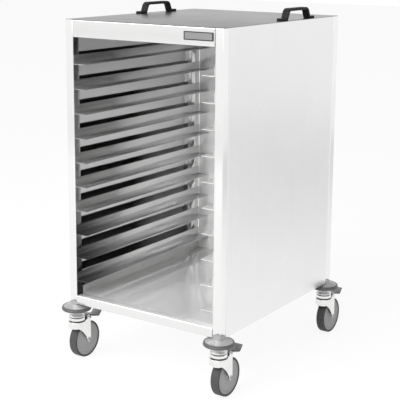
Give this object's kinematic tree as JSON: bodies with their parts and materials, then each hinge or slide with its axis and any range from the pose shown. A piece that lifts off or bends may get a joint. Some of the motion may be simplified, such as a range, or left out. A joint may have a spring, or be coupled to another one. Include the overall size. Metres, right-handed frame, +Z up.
{
  "type": "tray trolley",
  "caption": "Closed tray trolley on braked swivel casters: square tube posts, sheet sides and back, an open front with pairs of tray ledges, and bridge handles on top",
  "frame": {"origin": "on the floor, under the centre of the overall box, with the casters trailing to the rear", "axes": "+Z up, the open front faces -Y, +X to the right for someone facing the front"},
  "size_m": [0.67, 0.852, 1.1822],
  "materials": {
    "frame_steel": "brushed along the tube",
    "rail_steel": "plain mill finish",
    "top_steel": "satin brushed",
    "panel_steel": "fine brushed, faintly reflecting",
    "tray_rail_steel": "folded sheet, brushed along its length",
    "handle_plastic": "fine grain",
    "bolt_steel": "bright zinc plate",
    "badge_plate": "blank field in a raised rim",
    "ball_steel": "polished",
    "bumper_rubber": "smooth, semi-gloss",
    "stem_zinc": "bright zinc plate",
    "fork_zinc": "bright zinc plate",
    "hub_plastic": "moulded, satin",
    "tyre_rubber": "smooth tread",
    "pedal_plastic": "moulded, grained"
  },
  "bodies": {
    "cabinet": {"post_front_left": "frame_steel", "post_front_right": "frame_steel", "post_rear_left": "frame_steel", "post_rear_right": "frame_steel", "header": "frame_steel", "bottom_rail_front": "frame_steel", "bottom_rail_rear": "rail_steel", "bottom_rail_left": "rail_steel", "bottom_rail_right": "rail_steel", "top_rail_rear": "rail_steel", "top_rail_left": "rail_steel", "top_rail_right": "rail_steel", "top_panel": "top_steel", "deck": "panel_steel", "side_panel_left": "panel_steel", "side_panel_right": "panel_steel", "back_panel": "panel_steel", "tray_rails_01": "tray_rail_steel", "tray_rails_02": "tray_rail_steel", "tray_rails_03": "tray_rail_steel", "tray_rails_04": "tray_rail_steel", "tray_rails_05": "tray_rail_steel", "tray_rails_06": "tray_rail_steel", "tray_rails_07": "tray_rail_steel", "tray_rails_08": "tray_rail_steel", "tray_rails_09": "tray_rail_steel", "tray_rails_10": "tray_rail_steel", "handle_left": "handle_plastic", "handle_right": "handle_plastic", "handle_screws": "bolt_steel", "badge": "badge_plate", "swivel_balls": "ball_steel", "bumper_front_left": "bumper_rubber", "bumper_front_right": "bumper_rubber", "bumper_rear_left": "bumper_rubber", "bumper_rear_right": "bumper_rubber", "caster_stem_front_left": "stem_zinc", "caster_stem_front_right": "stem_zinc", "caster_stem_rear_left": "stem_zinc", "caster_stem_rear_right": "stem_zinc"},
    "swivel_front_left": {"fork_front_left": "fork_zinc", "axle_front_left": "bolt_steel"},
    "wheel_front_left": {"hub_front_left": "hub_plastic", "tyre_front_left": "tyre_rubber"},
    "pedal_front_left": {"brake_pedal_front_left": "pedal_plastic"},
    "swivel_front_right": {"fork_front_right": "fork_zinc", "axle_front_right": "bolt_steel"},
    "wheel_front_right": {"hub_front_right": "hub_plastic", "tyre_front_right": "tyre_rubber"},
    "pedal_front_right": {"brake_pedal_front_right": "pedal_plastic"},
    "swivel_rear_left": {"fork_rear_left": "fork_zinc", "axle_rear_left": "bolt_steel"},
    "wheel_rear_left": {"hub_rear_left": "hub_plastic", "tyre_rear_left": "tyre_rubber"},
    "pedal_rear_left": {"brake_pedal_rear_left": "pedal_plastic"},
    "swivel_rear_right": {"fork_rear_right": "fork_zinc", "axle_rear_right": "bolt_steel"},
    "wheel_rear_right": {"hub_rear_right": "hub_plastic", "tyre_rear_right": "tyre_rubber"},
    "pedal_rear_right": {"brake_pedal_rear_right": "pedal_plastic"}
  },
  "joints": [
    {"name": "swivel_turn_front_left", "type": "hinge", "parent": "cabinet", "child": "swivel_front_left", "pos_m": [-0.285, -0.376, 0.133], "axis": [0, 0, 1], "continuous": true},
    {"name": "wheel_spin_front_left", "type": "hinge", "parent": "swivel_front_left", "child": "wheel_front_left", "pos_m": [-0.285, -0.338, 0.0625], "axis": [1, 0, 0], "continuous": true},
    {"name": "pedal_press_front_left", "type": "hinge", "parent": "swivel_front_left", "child": "pedal_front_left", "pos_m": [-0.285, -0.34, 0.144], "axis": [-1, 0, 0], "range_deg": [0, 12]},
    {"name": "swivel_turn_front_right", "type": "hinge", "parent": "cabinet", "child": "swivel_front_right", "pos_m": [0.285, -0.376, 0.133], "axis": [0, 0, 1], "continuous": true},
    {"name": "wheel_spin_front_right", "type": "hinge", "parent": "swivel_front_right", "child": "wheel_front_right", "pos_m": [0.285, -0.338, 0.0625], "axis": [1, 0, 0], "continuous": true},
    {"name": "pedal_press_front_right", "type": "hinge", "parent": "swivel_front_right", "child": "pedal_front_right", "pos_m": [0.285, -0.34, 0.144], "axis": [-1, 0, 0], "range_deg": [0, 12]},
    {"name": "swivel_turn_rear_left", "type": "hinge", "parent": "cabinet", "child": "swivel_rear_left", "pos_m": [-0.285, 0.314, 0.133], "axis": [0, 0, 1], "continuous": true},
    {"name": "wheel_spin_rear_left", "type": "hinge", "parent": "swivel_rear_left", "child": "wheel_rear_left", "pos_m": [-0.285, 0.352, 0.0625], "axis": [1, 0, 0], "continuous": true},
    {"name": "pedal_press_rear_left", "type": "hinge", "parent": "swivel_rear_left", "child": "pedal_rear_left", "pos_m": [-0.285, 0.35, 0.144], "axis": [-1, 0, 0], "range_deg": [0, 12]},
    {"name": "swivel_turn_rear_right", "type": "hinge", "parent": "cabinet", "child": "swivel_rear_right", "pos_m": [0.285, 0.314, 0.133], "axis": [0, 0, 1], "continuous": true},
    {"name": "wheel_spin_rear_right", "type": "hinge", "parent": "swivel_rear_right", "child": "wheel_rear_right", "pos_m": [0.285, 0.352, 0.0625], "axis": [1, 0, 0], "continuous": true},
    {"name": "pedal_press_rear_right", "type": "hinge", "parent": "swivel_rear_right", "child": "pedal_rear_right", "pos_m": [0.285, 0.35, 0.144], "axis": [-1, 0, 0], "range_deg": [0, 12]}
  ]
}
